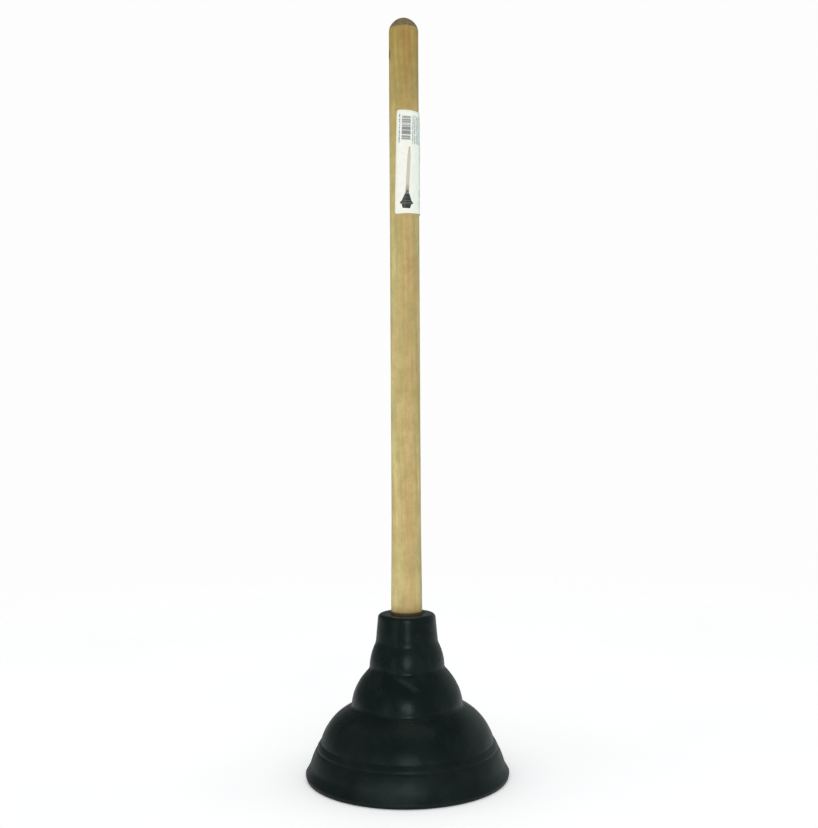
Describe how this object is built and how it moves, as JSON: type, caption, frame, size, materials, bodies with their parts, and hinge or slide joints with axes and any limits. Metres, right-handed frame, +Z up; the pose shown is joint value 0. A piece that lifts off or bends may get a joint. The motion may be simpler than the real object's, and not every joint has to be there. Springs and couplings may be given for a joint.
{
  "type": "toilet plunger",
  "caption": "Tiered black rubber force cup with a fold-out flange inside, screwed onto a straight wooden handle with a rounded top.",
  "frame": {"origin": "centre of the circular rim, in the plane the cup rests on", "axes": "+Z up along the handle, away from the mouth of the cup; -Y towards the front, where the label starts; +X to the right seen from the front"},
  "size_m": [0.15, 0.15, 0.5597],
  "materials": {
    "cup_rubber": "semi-gloss moulded black rubber with a slightly green cast",
    "flange_rubber": "satin moulded black rubber",
    "handle_wood": "pale hardwood with a thin clear lacquer",
    "label_paper": "white glossy self-adhesive label"
  },
  "bodies": {
    "cup": {"force_cup": "cup_rubber"},
    "flange": {"fold_out_flange": "flange_rubber"},
    "handle": {"handle": "handle_wood", "label": "label_paper"}
  },
  "joints": [
    {"name": "plunge", "type": "slide", "parent": "cup", "child": "handle", "axis": [0, 0, -1], "range_m": [0, 0.025], "stiffness_N_per_m": 2500, "deforming": ["force_cup"]},
    {"name": "flange_fold_out", "type": "slide", "parent": "cup", "child": "flange", "axis": [0, 0, -1], "range_m": [0, 0.062], "deforming": ["fold_out_flange"]}
  ]
}
